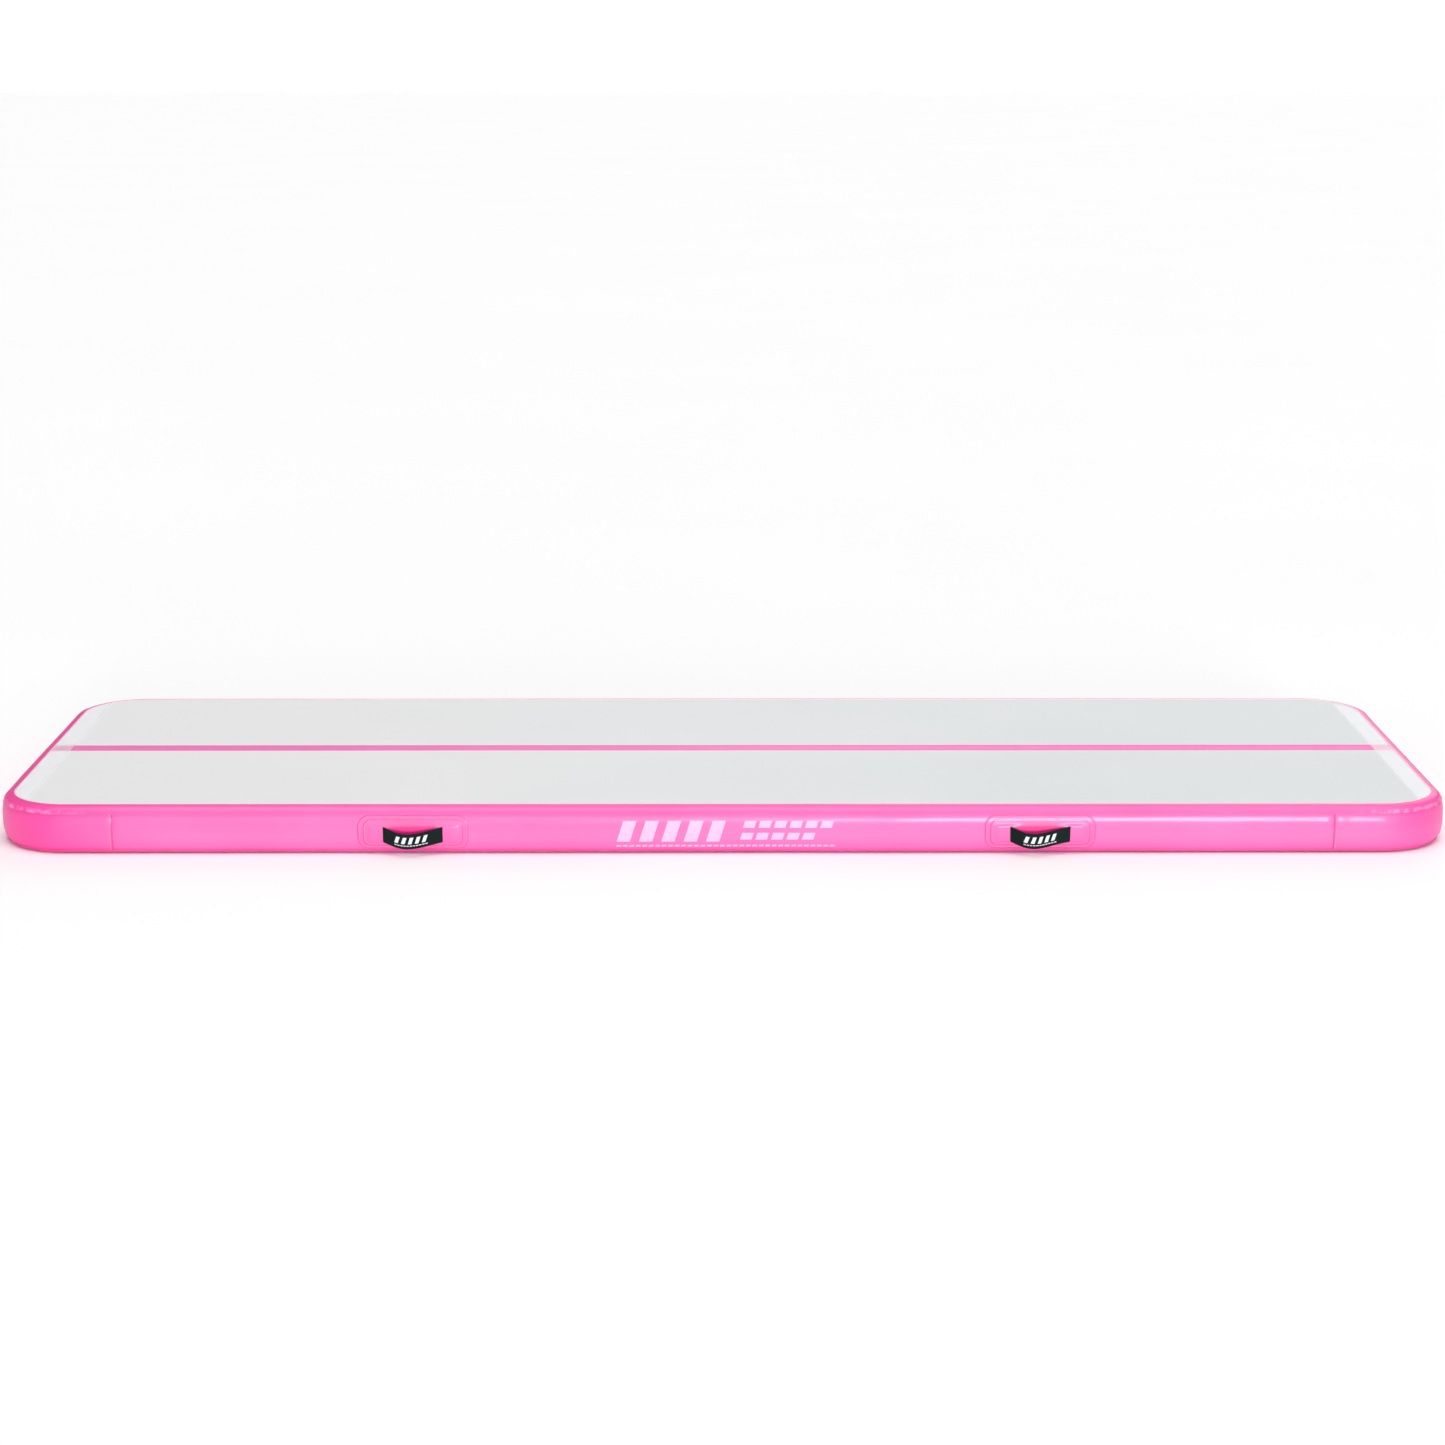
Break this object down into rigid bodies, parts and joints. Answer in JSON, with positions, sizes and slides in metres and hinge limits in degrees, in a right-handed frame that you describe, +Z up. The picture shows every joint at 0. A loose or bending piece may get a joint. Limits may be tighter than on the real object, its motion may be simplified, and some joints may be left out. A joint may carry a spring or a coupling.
{
  "type": "air track mat",
  "caption": "Inflated tumbling mat: a light grey deck with a pink centre line and clear end bands, soft pink side walls, webbing carry handles and a capped air valve.",
  "frame": {"origin": "centre of the underside, on the floor", "axes": "+X along the mat's length towards the valve, +Y from the front long side to the rear one, +Z up"},
  "size_m": [3.0205, 1.056, 0.1],
  "materials": {
    "deck_grey": "matt calendered PVC with a fine leather grain",
    "line_pink": "matt calendered PVC with a fine leather grain",
    "clear_film": "milky clear film, satin",
    "base_grey": "matt PVC with a coarse non-slip grain",
    "woven_yarn": "raw polyester cloth and yarn",
    "wall_pink": "soft satin PVC sheet",
    "tape_pink": "soft satin PVC sheet",
    "patch_pink": "soft satin PVC sheet",
    "black_webbing": "dense woven polypropylene webbing",
    "valve_grey": "moulded nylon, satin",
    "valve_pale": "moulded PVC, satin",
    "seal_rubber": "matt moulded rubber",
    "spring_steel": "drawn stainless wire",
    "tether_plastic": "milky soft PVC"
  },
  "bodies": {
    "mat": {"deck_front": "deck_grey", "deck_rear": "deck_grey", "centre_line": "line_pink", "end_film_left": "clear_film", "end_film_right": "clear_film", "base_sheet": "base_grey", "drop_stitch_core": "woven_yarn", "side_wall_front": "wall_pink", "side_wall_rear": "wall_pink", "side_wall_left": "wall_pink", "side_wall_right": "wall_pink", "seam_backing_front_left": "wall_pink", "seam_backing_front_right": "wall_pink", "seam_backing_rear_left": "wall_pink", "seam_backing_rear_right": "wall_pink", "top_seam_tape": "tape_pink", "bottom_seam_tape": "tape_pink", "handle_base_patch_front_left": "patch_pink", "handle_cover_patch_front_left": "patch_pink", "handle_leg_a_front_left": "black_webbing", "handle_leg_b_front_left": "black_webbing", "handle_base_patch_rear_left": "patch_pink", "handle_cover_patch_rear_left": "patch_pink", "handle_leg_a_rear_left": "black_webbing", "handle_leg_b_rear_left": "black_webbing", "handle_base_patch_front_right": "patch_pink", "handle_cover_patch_front_right": "patch_pink", "handle_leg_a_front_right": "black_webbing", "handle_leg_b_front_right": "black_webbing", "handle_base_patch_rear_right": "patch_pink", "handle_cover_patch_rear_right": "patch_pink", "handle_leg_a_rear_right": "black_webbing", "handle_leg_b_rear_right": "black_webbing", "valve_patch": "patch_pink", "valve_flange": "valve_pale", "valve_ring_nut": "valve_grey", "valve_guide": "valve_grey", "valve_spring": "spring_steel", "tether_strap": "tether_plastic", "tether_anchor": "tether_plastic"},
    "handle_front_left": {"handle_grip_front_left": "black_webbing"},
    "handle_rear_left": {"handle_grip_rear_left": "black_webbing"},
    "handle_front_right": {"handle_grip_front_right": "black_webbing"},
    "handle_rear_right": {"handle_grip_rear_right": "black_webbing"},
    "plunger": {"valve_stem": "valve_grey", "valve_seal": "seal_rubber"},
    "button": {"valve_button": "valve_grey"},
    "cap": {"valve_cap": "valve_grey", "cap_gasket": "seal_rubber"},
    "tether_ring": {"tether_swivel": "tether_plastic"}
  },
  "joints": [
    {"name": "handle_swing_front_left", "type": "hinge", "parent": "mat", "child": "handle_front_left", "pos_m": [-0.632, -0.5034, 0.0437], "axis": [-1, 0, 0], "range_deg": [0, 60]},
    {"name": "handle_swing_rear_left", "type": "hinge", "parent": "mat", "child": "handle_rear_left", "pos_m": [-0.632, 0.5034, 0.0437], "axis": [1, 0, 0], "range_deg": [0, 60]},
    {"name": "handle_swing_front_right", "type": "hinge", "parent": "mat", "child": "handle_front_right", "pos_m": [0.6455, -0.5034, 0.0437], "axis": [-1, 0, 0], "range_deg": [0, 60]},
    {"name": "handle_swing_rear_right", "type": "hinge", "parent": "mat", "child": "handle_rear_right", "pos_m": [0.6455, 0.5034, 0.0437], "axis": [1, 0, 0], "range_deg": [0, 60]},
    {"name": "cap_lift", "type": "slide", "parent": "mat", "child": "tether_ring", "axis": [1, 0, 0], "range_m": [0, 0.018], "deforming": ["tether_strap"]},
    {"name": "cap_turn", "type": "hinge", "parent": "tether_ring", "child": "cap", "pos_m": [1.5, 0, 0.05], "axis": [1, 0, 0], "range_deg": [0, 90]},
    {"name": "valve_press", "type": "slide", "parent": "mat", "child": "plunger", "axis": [-1, 0, 0], "range_m": [0, 0.005], "stiffness_N_per_m": 400, "springref_m": -0.003, "deforming": ["valve_spring"]},
    {"name": "button_turn", "type": "hinge", "parent": "plunger", "child": "button", "pos_m": [1.5, 0, 0.05], "axis": [1, 0, 0], "range_deg": [0, 90]}
  ]
}
